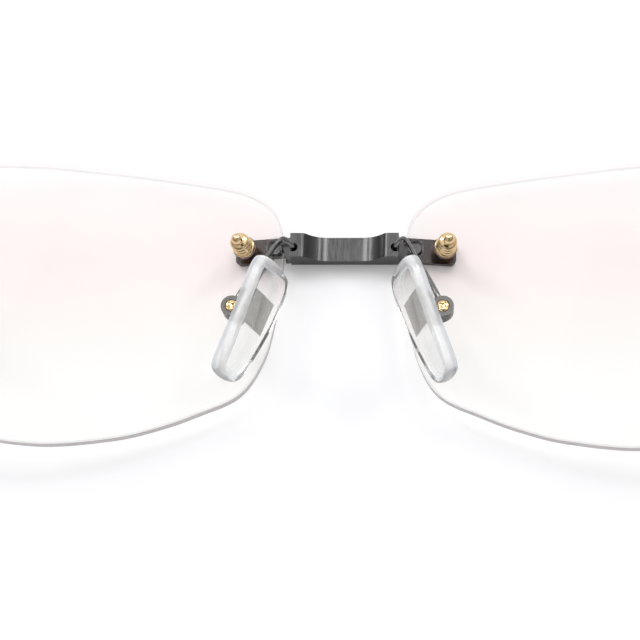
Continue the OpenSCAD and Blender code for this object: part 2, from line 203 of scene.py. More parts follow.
def sweep(path, section, flip=Vector((1, 0, 0))):
    """Carries a closed section, a function of the share of the way, along a path."""
    verts, last = [], len(path) - 1
    for i, p in enumerate(path):
        t = (path[min(i + 1, last)] - path[max(i - 1, 0)]).normalized()
        u = t.cross(flip).normalized()
        w = t.cross(u)
        ring = section(i / last)
        verts += [p + u * a + w * b for a, b in ring]
    n = len(section(0))
    faces = [
        (i * n + k, (i + 1) * n + k, (i + 1) * n + (k + 1) % n, i * n + (k + 1) % n)
        for i in range(last)
        for k in range(n)
    ]
    return verts, faces + [tuple(range(n)), tuple(reversed(range(last * n, (last + 1) * n)))]


def ellipse(a, b, sides=16):
    return [
        (a * math.cos(2 * math.pi * k / sides), b * math.sin(2 * math.pi * k / sides)) for k in range(sides)
    ]


def round_box(size_x, size_y, r, steps=6):
    """A rectangle with round corners, anticlockwise, centred."""
    return [
        (
            sx * (size_x / 2 - r) + r * math.cos(math.radians(a0 + 90 * k / steps)),
            sy * (size_y / 2 - r) + r * math.sin(math.radians(a0 + 90 * k / steps)),
        )
        for sx, sy, a0 in ((1, 1, 0), (-1, 1, 90), (-1, -1, 180), (1, -1, 270))
        for k in range(steps + 1)
    ]


# ---------------------------------------------------------------- making pieces
def make_object(name, shape, side, materials, smooth_angle=35):
    """A mesh object from a shape, mirrored where side is -1, with its normals outwards."""
    mesh = bpy.data.meshes.new(name)
    verts = [Vector((v.x * side, v.y, v.z)) * MM for v in shape.verts]
    mesh.from_pydata(verts, [], shape.faces)
    for face, mat in zip(mesh.polygons, shape.mats):
        face.material_index = mat
    for material in materials:
        mesh.materials.append(material)
    obj = bpy.data.objects.new(name, mesh)
    bpy.context.scene.collection.objects.link(obj)
    tidy_mesh(mesh, smooth_angle)
    return obj


def tidy_mesh(mesh, smooth_angle):
    """Joins double points, turns the faces outwards and marks the sharp edges."""
    bm = bmesh.new()
    bm.from_mesh(mesh)
    bmesh.ops.remove_doubles(bm, verts=bm.verts, dist=1e-7)
    bmesh.ops.recalc_face_normals(bm, faces=bm.faces)
    limit = math.radians(smooth_angle)
    for face in bm.faces:
        face.smooth = True
    for edge in bm.edges:
        edge.smooth = len(edge.link_faces) == 2 and edge.calc_face_angle(0) < limit
    bm.to_mesh(mesh)
    bm.free()


def combine(obj, others, operation):
    """Joins each other object to obj, or subtracts it, for good, and removes the others."""
    for other in others:
        modifier = obj.modifiers.new("combine", "BOOLEAN")
        modifier.object = other
        modifier.operation = operation
        modifier.solver = "EXACT"
        apply_modifiers(obj)
        bpy.data.objects.remove(other)


def apply_modifiers(obj):
    bpy.context.view_layer.update()
    done = bpy.data.meshes.new_from_object(obj.evaluated_get(bpy.context.evaluated_depsgraph_get()))
    done.name = obj.name
    obj.modifiers.clear()
    obj.data = done


def round_edges(obj, width, segments=3, angle=35):
    """Rounds the sharp edges for good, so that they catch the light."""
    modifier = obj.modifiers.new("round", "BEVEL")
    modifier.width = width * MM
    modifier.segments = segments
    modifier.limit_method = "ANGLE"
    modifier.angle_limit = math.radians(angle)
    modifier.harden_normals = True
    apply_modifiers(obj)


def settle(obj, body, slot, *nodes):
    """The piece moves with a body and stands for its CAD nodes, which it hides; slot is not used."""
    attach(obj, body)
    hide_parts(*nodes)


def flat_square(name, half):
    """A level square, for the floor and the card."""
    mesh = bpy.data.meshes.new(name)
    corners = [(half * x, half * y, 0) for x, y in ((-1, -1), (1, -1), (1, 1), (-1, 1))]
    mesh.from_pydata(corners, [], [(0, 1, 2, 3)])
    obj = bpy.data.objects.new(name, mesh)
    bpy.context.scene.collection.objects.link(obj)
    return obj


# ---------------------------------------------------------------- material helpers
class Nodes:
    """A short way to build one material's node tree."""

    def __init__(self, name):
        self.material = bpy.data.materials.new(name)
        self.material.use_nodes = True
        self.tree = self.material.node_tree
        self.tree.nodes.clear()
        self.output = self.node("ShaderNodeOutputMaterial")

    def node(self, kind, inputs=None, **settings):
        node = self.tree.nodes.new(kind)
        for key, value in settings.items():
            setattr(node, key, value)
        for key, value in (inputs or {}).items():
            self.feed(node.inputs[key], value)
        return node

    def feed(self, socket, value):
        if isinstance(value, bpy.types.NodeSocket):
            self.tree.links.new(value, socket)
        elif isinstance(value, tuple) and len(value) == 3 and len(socket.default_value) == 4:
            socket.default_value = (*value, 1)
        else:
            socket.default_value = value

    def place(self, scale=(1, 1, 1)):
        """Object coordinates in millimetres, stretched by scale."""
        coordinates = self.node("ShaderNodeTexCoord").outputs["Object"]
        mapping = self.node("ShaderNodeMapping", {"Vector": coordinates})
        mapping.inputs["Scale"].default_value = [s / MM for s in scale]
        return mapping.outputs["Vector"]

    def noise(self, vector, scale, detail=4.0, roughness=0.55):
        inputs = {"Vector": vector, "Scale": scale, "Detail": detail, "Roughness": roughness}
        return self.node("ShaderNodeTexNoise", inputs).outputs["Fac"]

    def span(self, value, low, high, from_low=0.0, from_high=1.0):
        inputs = {"Value": value, "From Min": from_low, "From Max": from_high, "To Min": low, "To Max": high}
        return self.node("ShaderNodeMapRange", inputs).outputs["Result"]

    def vary(self, noise, low, high):
        """Spreads a noise, which stays near its middle, over a range."""
        return self.span(noise, low, high, 0.3, 0.7)

    def ramp(self, value, stops):
        node = self.node("ShaderNodeValToRGB", {"Fac": value})
        elements = node.color_ramp.elements
        while len(elements) < len(stops):
            elements.new(0.5)
        for element, (at, colour) in zip(elements, stops):
            element.position = at
            element.color = (*colour, 1)
        return node.outputs["Color"]

    def math(self, operation, a, b=0.0):
        return self.node("ShaderNodeMath", {0: a, 1: b}, operation=operation).outputs[0]

    def bump(self, height, strength, distance):
        inputs = {"Height": height, "Strength": strength, "Distance": distance * MM}
        return self.node("ShaderNodeBump", inputs).outputs["Normal"]

    def mix(self, fac, first, second):
        return self.node("ShaderNodeMixShader", {0: fac, 1: first, 2: second}).outputs[0]

    def path(self, name):
        return self.node("ShaderNodeLightPath").outputs[name]

    def principled(self, **sockets):
        inputs = {key.replace("_", " ").title().replace("Ior", "IOR"): v for key, v in sockets.items()}
        return self.node("ShaderNodeBsdfPrincipled", inputs).outputs[0]

    def along(self, axis):
        """How far a point lies along one of the pad's own axes, on either side."""
        axis = IN_PAD.to_3x3() @ Vector(axis)
        parts = self.node("ShaderNodeSeparateXYZ", {"Vector": self.place()}).outputs
        total = -axis.dot(Vector(PAD_AT))
        for value, share in zip((self.math("ABSOLUTE", parts["X"]), parts["Y"], parts["Z"]), axis):
            total = self.math("ADD", self.math("MULTIPLY", value, share), total)
        return total

    def finish(self, shader):
        self.tree.links.new(shader, self.output.inputs["Surface"])
        return self.material


# ---------------------------------------------------------------- materials
def gunmetal(name, brushing, dark=(0.12, 0.12, 0.12), pale=(0.175, 0.174, 0.176), rough=(0.2, 0.34)):
    """Dark plated metal; brushing stretches the fine lines along one axis."""
    m = Nodes(name)
    lines = m.noise(m.place(brushing), 1.0, 3.0)
    cloud = m.noise(m.place((0.5, 0.5, 0.5)), 1.0)
    grey = m.ramp(m.math("ADD", m.math("MULTIPLY", lines, 0.6), m.math("MULTIPLY", cloud, 0.4)),
                  ((0.3, dark), (0.7, pale)))
    return m.finish(m.principled(
        base_color=grey, metallic=1.0, roughness=m.vary(lines, *rough),
        normal=m.bump(lines, 0.1, 0.02)))


def gold():
    """Polished gold plating with slight wear."""
    m = Nodes("gold_plating")
    wear = m.noise(m.place((1.6, 1.6, 1.6)), 1.0, 5.0)
    tone = m.ramp(wear, ((0.3, (0.9, 0.64, 0.34)), (0.7, (0.98, 0.75, 0.44))))
    return m.finish(m.principled(
        base_color=tone, metallic=1.0, roughness=m.vary(wear, 0.1, 0.2),
        normal=m.bump(m.noise(m.place((5, 5, 5)), 1.0), 0.1, 0.01)))


def lens_faces():
    """Clear plastic with a pale rose band that fades towards the cheek."""
    m = Nodes("lens_faces")
    height = m.node("ShaderNodeSeparateXYZ", {"Vector": m.place()}).outputs["Y"]
    cloud = m.math("MULTIPLY", m.math("SUBTRACT", m.noise(m.place((0.06, 0.06, 0.06)), 1.0), 0.5), 0.12)
    share = m.math("ADD", m.span(height, 0.0, 1.0, -20.4, 20.4), cloud)
    tint = m.ramp(share, (
        (0.0, (0.999, 0.999, 0.99)), (0.13, (0.999, 0.999, 0.99)), (0.43, (0.983, 0.976, 0.967)),
        (0.69, (0.984, 0.957, 0.952)), (0.89, (0.983, 0.971, 0.964)), (1.0, (0.985, 0.975, 0.97)),
    ))
    clear = m.node("ShaderNodeBsdfTransparent", {"Color": tint}).outputs[0]
    smear = m.noise(m.place((0.18, 0.45, 0.3)), 1.0, 8.0)
    gloss = m.node("ShaderNodeBsdfGlossy", {"Color": (0.9, 0.9, 0.92),
                                            "Roughness": m.span(smear, 0.02, 0.12, 0.4, 0.8)}).outputs[0]
    fresnel = m.node("ShaderNodeFresnel", {"IOR": 1.12}).outputs[0]
    from_within = m.node("ShaderNodeNewGeometry").outputs["Backfacing"]
    share = m.math("MULTIPLY", fresnel, m.span(from_within, 1.0, 0.0))
    return m.finish(m.mix(share, clear, gloss))


def lens_edge():
    """The ground and polished rim: a soft grey from outside, almost clear from within the lens. The grey is
    partly the ground finish and partly painted reflection, standing in for light that the polished edge
    reflects inside the lens.
    """
    m = Nodes("lens_edge")
    grind = m.noise(m.place((0.8, 0.8, 9)), 1.0)
    clear = m.node("ShaderNodeBsdfTransparent", {"Color": (0.985, 0.955, 0.955)}).outputs[0]
    # Grey base colour: partly the ground finish, partly a painted reflection of light caught inside the
    # polished edge.
    frosted_grey_and_painted_reflection = m.principled(
        base_color=m.ramp(grind, ((0.3, (0.47, 0.43, 0.44)), (0.7, (0.62, 0.57, 0.58)))),
        roughness=0.35, ior=1.5, normal=m.bump(grind, 0.2, 0.02))
    from_within = m.node("ShaderNodeNewGeometry").outputs["Backfacing"]
    share = m.math("MULTIPLY", m.vary(grind, 0.7, 0.92), m.span(from_within, 1.0, 0.04))
    return m.finish(m.mix(share, clear, frosted_grey_and_painted_reflection))


def lens_bevel():
    """The safety bevel on both sides of the rim, which draws a thin pale line round the lens."""
    m = Nodes("lens_bevel")
    shine = m.noise(m.place((0.5, 0.5, 0.5)), 1.0)
    clear = m.node("ShaderNodeBsdfTransparent", {"Color": (0.97, 0.965, 0.965)}).outputs[0]
    gloss = m.node("ShaderNodeBsdfGlossy", {"Color": (1.0, 1.0, 1.0), "Roughness": 0.2}).outputs[0]
    return m.finish(m.mix(m.vary(shine, 0.14, 0.22), clear, gloss))


def clear_plastic(name, colour, rough):
    """Moulded clear plastic that bends what is behind it but lets the lamps through."""
    m = Nodes(name)
    flow = m.noise(m.place((0.7, 0.7, 0.7)), 1.0, 3.0)
    body = m.principled(
        base_color=m.ramp(flow, ((0.3, tuple(c * 0.97 for c in colour)), (0.7, colour))),
        transmission_weight=1.0, roughness=m.vary(flow, *rough), ior=1.45,
        normal=m.bump(flow, 0.08, 0.05))
    through = m.node("ShaderNodeBsdfTransparent", {"Color": colour}).outputs[0]
    return m.finish(m.mix(m.path("Is Shadow Ray"), body, through))


def fogged_rim_with_painted_light():
    """The pad's wall: the same clear plastic, fogged on its outer side. The fog is partly real clouding and
    partly a painted reflection of light caught inside the wall, painted greyer on the half that faces down
    (painted shade) and pale on the half that faces up (painted highlight band).
    """
    m = Nodes("pad_rim")
    flow = m.noise(m.place((0.5, 0.5, 0.5)), 1.0, 3.0)
    glass = m.principled(
        base_color=(0.97, 0.975, 0.98), transmission_weight=1.0, roughness=m.vary(flow, 0.05, 0.1), ior=1.42)
    # Fog colour: partly real clouding, partly painted reflection of light inside the wall; greyer on the
    # down-facing half (painted shade), pale on the up-facing half (painted highlight band).
    fog_and_painted_light = m.principled(
        base_color=m.ramp(m.span(m.along((0, 0, 1)), 0.0, 1.0, -0.7, 0.7),
                          ((0.3, (0.66, 0.69, 0.73)), (0.62, (0.96, 0.965, 0.97)))),
        roughness=0.3, ior=1.5, coat_weight=1.0, coat_roughness=0.12)
    through = m.node("ShaderNodeBsdfTransparent", {"Color": (0.96, 0.96, 0.965)}).outputs[0]
    outer = m.span(m.along((1, 0, 0)), 0.05, 1.0, -2.4, 2.4)
    share = m.math("MULTIPLY", outer, m.vary(flow, 0.62, 0.78))
    return m.finish(m.mix(m.path("Is Shadow Ray"), m.mix(share, glass, fog_and_painted_light), through))


def pad_metal():
    """The bare pale metal of the inserts."""
    m = Nodes("pad_metal")
    grain = m.noise(m.place((6, 2, 6)), 1.0, 4.0)
    return m.finish(m.principled(
        base_color=m.ramp(grain, ((0.3, (0.44, 0.42, 0.4)), (0.7, (0.62, 0.6, 0.57)))),
        metallic=1.0, roughness=m.vary(grain, 0.28, 0.45), normal=m.bump(grain, 0.3, 0.02)))


def tip_sleeve():
    """Soft black plastic."""
    m = Nodes("tip_sleeve")
    grain = m.noise(m.place((4, 4, 4)), 1.0, 6.0)
    cloud = m.noise(m.place((0.15, 0.15, 0.15)), 1.0)
    return m.finish(m.principled(
        base_color=m.ramp(cloud, ((0.3, (0.012, 0.012, 0.014)), (0.7, (0.026, 0.026, 0.029)))),
        roughness=m.vary(grain, 0.38, 0.55), normal=m.bump(grain, 0.12, 0.03)))


BRUSHED = gunmetal("gunmetal_bridge", (9, 0.5, 0.5), (0.08, 0.08, 0.081), (0.118, 0.117, 0.118), (0.14, 0.24))
PLATED = gunmetal("gunmetal_parts", (3, 3, 1))
CUP_METAL = gunmetal("gunmetal_cup", (3, 3, 1), (0.062, 0.06, 0.057), (0.1, 0.097, 0.092))
# The wire's gunmetal is a paler copy of the plated metal, so that its highlights come out brighter: painted
# sheen.
WIRE = gunmetal("gunmetal_wire", (2, 2, 2), (0.2, 0.2, 0.2), (0.28, 0.28, 0.275), (0.16, 0.26))
TEMPLE_METAL = gunmetal("gunmetal_temple", (6, 6, 0.25))
GOLD = gold()
LENS_FACES = lens_faces()
LENS_EDGE = lens_edge()
LENS_BEVEL = lens_bevel()
PAD_CLEAR = clear_plastic("pad_clear", (0.93, 0.945, 0.945), (0.04, 0.1))
SLEEVE_CLEAR = clear_plastic("sleeve_clear", (0.95, 0.84, 0.78), (0.12, 0.25))
PAD_RIM = fogged_rim_with_painted_light()
PAD_METAL = pad_metal()
TIP_SLEEVE = tip_sleeve()


# ---------------------------------------------------------------- lenses
def offset_outline(points, distance):
    """Moves an anticlockwise outline inwards by a distance."""
    n = len(points)
    moved = []
    for i, p in enumerate(points):
        along = (Vector(points[(i + 1) % n]) - Vector(points[i - 1])).normalized()
        moved.append(Vector(p) + Vector((-along.y, along.x)) * distance)
    return moved


def lens_outline():
    """The lens's outline with the notch for the bridge's lug, anticlockwise."""
    smooth = offset_outline(closed_curve(LENS_OUTLINE, 10), 0.01)
    start = next(i for i, p in enumerate(smooth) if p.y < BAR_Y - NOTCH_R and p.x < NOTCH_X)
    turned = smooth[start:] + smooth[:start]
    kept = [p for p in turned if not (abs(p.y - BAR_Y) < NOTCH_R + 0.05 and p.x < NOTCH_X)]
    arc = [
        Vector((NOTCH_X + NOTCH_R * math.cos(math.radians(a)), BAR_Y + NOTCH_R * math.sin(math.radians(a))))
        for a in range(90, -91, -15)
    ]
    edge_x = 8.22  # just inside the straight nasal edge
    return kept + [Vector((edge_x, BAR_Y + NOTCH_R))] + arc + [Vector((edge_x, BAR_Y - NOTCH_R))]


def inside(point, outline):
    """True where the point lies within the outline."""
    hit = False
    for a, b in zip(outline, outline[1:] + outline[:1]):
        if (a.y > point.y) != (b.y > point.y):
            if point.x < (b.x - a.x) * (point.y - a.y) / (b.y - a.y) + a.x:
                hit = not hit
    return hit


def lens_shape():
    """A drilled lens with chamfered rims: faces are material 0, edges 1 and chamfers 2."""
    chamfer, pitch, margin, hole_margin = 0.22, 2.0, 0.9, 1.6
    rim = lens_outline()
    face = offset_outline(rim, chamfer)
    hole_r = 0.76
    holes = [
        [Vector((x + hole_r * math.cos(k * math.pi / 12), y + hole_r * math.sin(k * math.pi / 12)))
         for k in range(24)]
        for x, y in (NASAL, TEMPORAL)
    ]
    well_inside = offset_outline(rim, margin)
    grid = [
        Vector((8 + pitch * i + (pitch / 2) * (j % 2), -21 + pitch * 0.87 * j))
        for i in range(30)
        for j in range(25)
    ]
    grid = [
        p for p in grid
        if inside(p, well_inside) and all((p - Vector(at)).length > hole_margin for at in (NASAL, TEMPORAL))
        and (p - Vector((NOTCH_X, BAR_Y))).length > NOTCH_R + margin
    ]
    loops = [face] + holes
    points = [p for loop in loops for p in loop] + grid
    edges, start = [], 0
    for loop in loops:
        n = len(loop)
        edges += [(start + k, start + (k + 1) % n) for k in range(n)]
        start += n
    verts, _, faces, _, _, _ = delaunay_2d_cdt(points, edges, [], 4, 1e-4)
    shape = Shape()
    shape.add([(v.x, v.y, lens_front(v.x, v.y)) for v in verts], [tuple(reversed(f)) for f in faces])
    shape.add([(v.x, v.y, lens_back(v.x, v.y)) for v in verts], faces)
    n = len(rim)
    steps = (
        [(p.x, p.y, lens_front(p.x, p.y)) for p in face],
        [(p.x, p.y, lens_front(p.x, p.y) + chamfer) for p in rim],
        [(p.x, p.y, lens_back(p.x, p.y) - chamfer) for p in rim],
        [(p.x, p.y, lens_back(p.x, p.y)) for p in face],
    )
    for low, high, mat in ((0, 1, 2), (1, 2, 1), (2, 3, 2)):
        walls = [(k, (k + 1) % n, n + (k + 1) % n, n + k) for k in range(n)]
        shape.add(steps[low] + steps[high], walls, mat)
    for hole in holes:
        count = len(hole)
        low = [(p.x, p.y, lens_front(p.x, p.y)) for p in hole]
        high = [(p.x, p.y, lens_back(p.x, p.y)) for p in hole]
        shape.add(low + high, [(k, count + k, count + (k + 1) % count, (k + 1) % count)
                               for k in range(count)], 1)
    return shape


# ---------------------------------------------------------------- bridge
def block_top(x):
    """The block's profile: flat humps, and a hollow that is level in its middle."""
    flat = BLOCK_X - HUMP_W
    start, soft = 2.0, 0.16
    t = max(0.0, (abs(x) - start) / (flat - start))
    z = HUMP_Z if t > 1 else HOLLOW_Z + (HUMP_Z - HOLLOW_Z) * t ** 2.5
    near = 1 - abs(abs(x) - flat) / (2 * soft)
    return z - soft * 0.55 * max(near, 0.0) ** 2


def bridge_part(name, shape):
    return make_object(name, shape, 1, [BRUSHED], 30)


def bridge():
    """The waved block, its two plates and lugs, bored for the pad arms and relieved below."""
    flat, steps = BLOCK_X - HUMP_W, 40
    corner = [flat + 0.32 - 0.08 * k for k in range(9)]
    inner = corner[-1]
    across = [BLOCK_X] + corner + [inner * (1 - 2 * k / steps) for k in range(1, steps)]
    across += [-x for x in reversed(corner)] + [-BLOCK_X]
    top = [(x, block_top(x)) for x in across]
    outline = top + [(-BLOCK_X, UNDER_Z), (BLOCK_X, UNDER_Z)]
    place = Matrix.Translation((0, BAR_Y + BAR_H / 2, 0)) @ turn(90, "X")
    block = bridge_part("bridge_block", Shape().add(*prism(outline, BAR_H), place=place))
    outer, inner = 1.75, NASAL[0] - BLOCK_X + 0.8
    others = []
    for _, side in SIDES:
        mirror = Matrix.Scale(side, 4, (1, 0, 0))
        plate = on_lens(NASAL) @ Matrix.Translation(((outer - inner) / 2, 0, -PLATE_T - GAP))
        others.append(bridge_part("plate", Shape().add(
            *prism(round_box(outer + inner, BAR_H, 0.7), PLATE_T), place=mirror @ plate)))
        lug = Matrix.Translation((NOTCH_X - 0.02, BAR_Y, 1.9))
        others.append(bridge_part("lug", Shape().add(
            *prism(ellipse(LUG_R, LUG_R, 32), 1.1), place=mirror @ lug)))
    combine(block, others, "UNION")
    cutters = []
    for _, side in SIDES:
        mirror = Matrix.Scale(side, 4, (1, 0, 0))
        bore = Matrix.Translation((*ARM_FOOT, HUMP_Z - 1.5))
        cutters.append(bridge_part("bore", Shape().add(
            *prism(ellipse(ARM_HOLE_R, ARM_HOLE_R, 32), 5), place=mirror @ bore)))
        relief = Matrix.Translation((8.9, BAR_Y - BAR_H / 2 - 0.05, 0))
        cutters.append(bridge_part("relief", Shape().add(
            *prism(round_box(1.8, 1.7, 0.15), 5), place=mirror @ relief)))
    combine(block, cutters, "DIFFERENCE")
    round_edges(block, 0.15, 4, 32)
    block.name = "bridge_bar"
    return block


# ---------------------------------------------------------------- lens mounts
def nut_shape():
    """A round foot, three round rings that step inwards, a neck and a ball."""
    base_h, rings, ring_h, knob_r = 0.45, 3, 0.72, 0.76
    profile = [(0, 0), (1.4, 0), (1.48, 0.05), (1.5, 0.13), (1.5, 0.3), (1.46, 0.38), (1.34, 0.43)]
    for i in range(rings):
        inner, bulge = 1.18 - 0.07 * i, 0.24
        low = base_h + ring_h * i
        profile += [
            (inner + bulge * math.sin(math.pi * k / 12), low + ring_h * (0.04 + 0.92 * k / 12))
            for k in range(13)
        ]
    top = base_h + rings * ring_h
    ball_z = top + 0.2 + knob_r * 0.78
    profile += [(0.95, top + 0.02), (0.72, top + 0.06), (0.6, top + 0.15)]
    profile += [
        (knob_r * math.cos(math.radians(a)), ball_z + knob_r * math.sin(math.radians(a)))
        for a in range(-48, 90, 6)
    ] + [(0, ball_z + knob_r)]
    return revolve(profile, 56)


def sleeve_shape():
    """A tube through the lens with a round flange behind it."""
    tube, bore, flange = 0.74, 0.56, 1.6
    top = LENS_T + GAP + FLANGE_T
    profile = [
        (bore, 0.0), (tube, 0.0), (tube, LENS_T + GAP), (flange - 0.08, LENS_T + GAP),
        (flange, LENS_T + GAP + 0.08), (flange, top - 0.08), (flange - 0.08, top), (bore, top), (bore, 0.0),
    ]
    return revolve(profile, 40)


def screw_shape():
    """A low round head in front of the plate, and a shank that ends in the nut."""
    head_r, shank_r, shank_l = 1.1, 0.55, 3.5
    seat = -PLATE_T - GAP
    return revolve([
        (0, seat - SCREW_HEAD_T), (0.7, seat - SCREW_HEAD_T + 0.03), (0.95, seat - SCREW_HEAD_T + 0.12),
        (head_r, seat - 0.18), (head_r, seat), (shank_r, seat), (shank_r, shank_l), (0, shank_l),
    ], 40)


def slot_cutter(name, size, place, side):
    """A bar of a length, width and height that cuts a slot."""
    shape = Shape().add(*prism(round_box(size[0], size[1], size[1] * 0.3, 2), size[2]), place=place)
    return make_object(name, shape, side, [GOLD])


def lens_mount(where, at, side_name, side):
    """The screw through plate and lens, its clear sleeve, and the cap nut behind."""
    place = on_lens(at)
    nut_place = place @ Matrix.Translation((0, 0, LENS_T + GAP + FLANGE_T))
    nut = make_object(f"{where}_cap_nut_{side_name}", Shape().add(*nut_shape(), place=nut_place),
                      side, [GOLD], 50)
    settle(nut, "frame", "gold", f"{where}_nut_{side_name}")
    sleeve = make_object(f"{where}_flanged_sleeve_{side_name}", Shape().add(*sleeve_shape(), place=place),
                         side, [SLEEVE_CLEAR])
    settle(sleeve, "frame", "clear_plastic", f"{where}_sleeve_{side_name}")
    screw = make_object(f"{where}_slotted_screw_{side_name}", Shape().add(*screw_shape(), place=place),
                        side, [GOLD], 40)
    slot = place @ Matrix.Translation((0, 0, -PLATE_T - GAP - SCREW_HEAD_T - 1))
    combine(screw, [slot_cutter("slot", (3, 0.3, 1.2), slot, side)], "DIFFERENCE")
    settle(screw, "frame", "gold", f"{where}_screw_{side_name}")


# ---------------------------------------------------------------- nose pads
def arm_path():
    """Out of the block, over the lens's edge and down into the cup."""
    points = [
        (*ARM_FOOT, 2.9), (*ARM_FOOT, 3.7), (6.95, 7.85, 4.4), (7.4, 8.15, 5.3), (8.2, 8.1, 6),
        (9, 6.9, 6.6), (9.65, 5.4, 7.3), (10.8, 2.8, 8.9), (11.9, 0.5, 10.1),
    ]
    points += [IN_BOX @ Vector((0, BOX_R + y, 0)) for y in (1, 0, 0.05 - HEAD_SEAT)]
    return open_curve(points, 8)


def arm_section(share):
    """Round at both ends and pressed flatter between them."""
    flat = math.sin(math.pi * min(max((share - 0.12) / 0.76, 0), 1))
    return ellipse(ARM_R, ARM_R * (1 - 0.38 * flat), 20)


def pad_arm(side_name, side):
    shape = Shape().add(*sweep(arm_path(), arm_section))
    arm = make_object(f"pad_arm_wire_{side_name}", shape, side, [WIRE], 60)
    settle(arm, "frame", "gunmetal", f"pad_arm_{side_name}")


def pad_box(side_name, side):
    """The round cup that ends the arm, flattened towards the pad and slotted for the eye."""
    half, round_r = BOX_L / 2, 0.55
    middle_r, middle_z = BOX_R - round_r, -half + round_r
    profile = [(0, -half), (middle_r, -half)] + [
        (middle_r + round_r * math.sin(math.radians(a)), middle_z - round_r * math.cos(math.radians(a)))
        for a in range(15, 91, 15)
    ] + [(BOX_R, half), (0, half)]
    cup = make_object("cup", Shape().add(*revolve(profile, 56), place=IN_BOX), side, [CUP_METAL])
    face = IN_BOX @ Matrix.Translation((-BOX_FACE / 2, 0, -half + 0.3))
    block = make_object("face", Shape().add(
        *prism(round_box(BOX_FACE, 2 * BOX_R - 0.04, 0.12), BOX_L - 0.32), place=face), side, [CUP_METAL])
    combine(cup, [block], "UNION")
    recess_r, eye_r, slot_w, slot_l = 0.84, 0.8, 1.1, 3.9
    recess = IN_BOX @ Matrix.Translation((0, 0, half - HEAD_SEAT))
    slot = IN_BOX @ Matrix.Translation((eye_r + 0.1 - slot_l / 2, 0, -slot_w / 2))
    combine(cup, [
        make_object("recess", Shape().add(
            *prism(ellipse(recess_r, recess_r, 40), 2), place=recess), side, [CUP_METAL]),
        make_object("slot", Shape().add(
            *prism(round_box(slot_l, 2 * eye_r + 0.3, 0.2), slot_w), place=slot), side, [CUP_METAL]),
    ], "DIFFERENCE")
    round_edges(cup, 0.07, 2, 32)
    cup.name = f"pad_cup_{side_name}"
    settle(cup, "frame", "gunmetal", f"pad_box_{side_name}")


def pad_screw(side_name, side):
    """The gold screw with a cross head that holds the pad in the cup."""
    half, head_r, shank_r = BOX_L / 2, 0.82, 0.4
    seat = half - HEAD_SEAT
    profile = [
        (0, -half), (shank_r, -half), (shank_r, seat), (head_r, seat), (head_r, seat + 0.38),
        (head_r - 0.08, seat + 0.48), (0.45, seat + 0.545), (0, seat + 0.55),
    ]
    screw = make_object(f"pad_cross_screw_{side_name}", Shape().add(*revolve(profile, 48), place=IN_BOX),
                        side, [GOLD], 40)
    for angle in (30, 120):
        cross = IN_BOX @ turn(angle, "Z") @ Matrix.Translation((0, 0, half - 0.2))
        combine(screw, [slot_cutter("cross", (1.15, 0.22, 1), cross, side)], "DIFFERENCE")
    settle(screw, "frame", "gold", f"pad_screw_{side_name}")


def insert_shape():
    """Two leaves with a knurl, meeting in a slanting fold, and the neck and eye that hold them."""
    width, length, thick = 5.8, 4.6, 0.5
    fold, slant = math.tan(math.radians(6)), 0.3
    cells = 56
    border, knurl_depth, knurl_pitch = 0.3, 0.07, 0.56
    shape = Shape()
    for leaf in (-1, 1):
        top = []
        for i in range(cells + 1):
            for j in range(cells + 1):
                y = length * (j / cells - 0.5)
                crease = slant * y
                x = crease + (leaf * width / 2 - crease) * i / cells
                wave = math.pi / knurl_pitch
                knurl = max(abs(math.sin(wave * (x + y))), abs(math.sin(wave * (x - y))))
                near = min(width / 2 - abs(x), length / 2 - abs(y), abs(x - crease))
                height = thick / 2 - fold * abs(x - crease) - (knurl_depth * knurl if near > border else 0)
                top.append((x, y + INSERT_Y, height))
        row = cells + 1
        rim = [i * row for i in range(row)] + [cells * row + j for j in range(1, row)]
        rim += [i * row + cells for i in range(cells - 1, -1, -1)] + list(range(cells - 1, 0, -1))
        shape.add(top, [(i * row + j, (i + 1) * row + j, (i + 1) * row + j + 1, i * row + j + 1)
                        for i in range(cells) for j in range(cells)], place=IN_PAD)
        upper = [top[i] for i in rim]
        lower = [(x, y, z - thick * 0.9) for x, y, z in upper]
        n = len(rim)
        walls = [(k, n + k, n + (k + 1) % n, (k + 1) % n) for k in range(n)]
        shape.add(upper + lower, walls + [tuple(range(2 * n - 1, n - 1, -1))], place=IN_PAD)
    neck_l = -BOX_AT[2] / math.cos(math.radians(BOX_TURN))
    neck = IN_BOX @ Matrix.Translation((-neck_l / 2, 0, -0.45))
    shape.add(*prism(round_box(neck_l, 1.2, 0.1), 0.9), place=neck)
    eye = IN_BOX @ Matrix.Translation((0, 0, -0.45))
    shape.add(*prism(ellipse(0.8, 0.8, 32), 0.9), place=eye)
    return shape


def pad_shape():
    """A clear pad, lofted from one outline: its wall is material 1, its dished face and back 0."""
    half, web = PAD_T / 2, 0.55
    outline = closed_curve(PAD_OUTLINE, 6)
    face = [
        (1.45, web), (1.22, web + 0.02), (1.12, 0.63), (1.05, 0.75), (0.97, 0.86), (0.85, 0.93), (0.7, half),
        (0.52, half),
    ]
    wall = [
        (0.5 * (1 - math.cos(math.radians(a))), half * math.sin(math.radians(a))) for a in range(76, -80, -8)
    ]
    profile = face + wall + [(1.2, -half)]
    sections = [[(p.x, p.y, z) for p in offset_outline(outline, inset)] for inset, z in profile]
    n = len(outline)
    rim = [v for ring in sections for v in ring]
    shape = Shape()
    shape.add(rim, [
        (r * n + k, (r + 1) * n + k, (r + 1) * n + (k + 1) % n, r * n + (k + 1) % n)
        for r in range(len(sections) - 1)
        for k in range(n)
    ], 1, IN_PAD)
    last = (len(sections) - 1) * n
    return shape.add(rim, [tuple(range(n)), tuple(reversed(range(last, last + n)))], 0, IN_PAD)


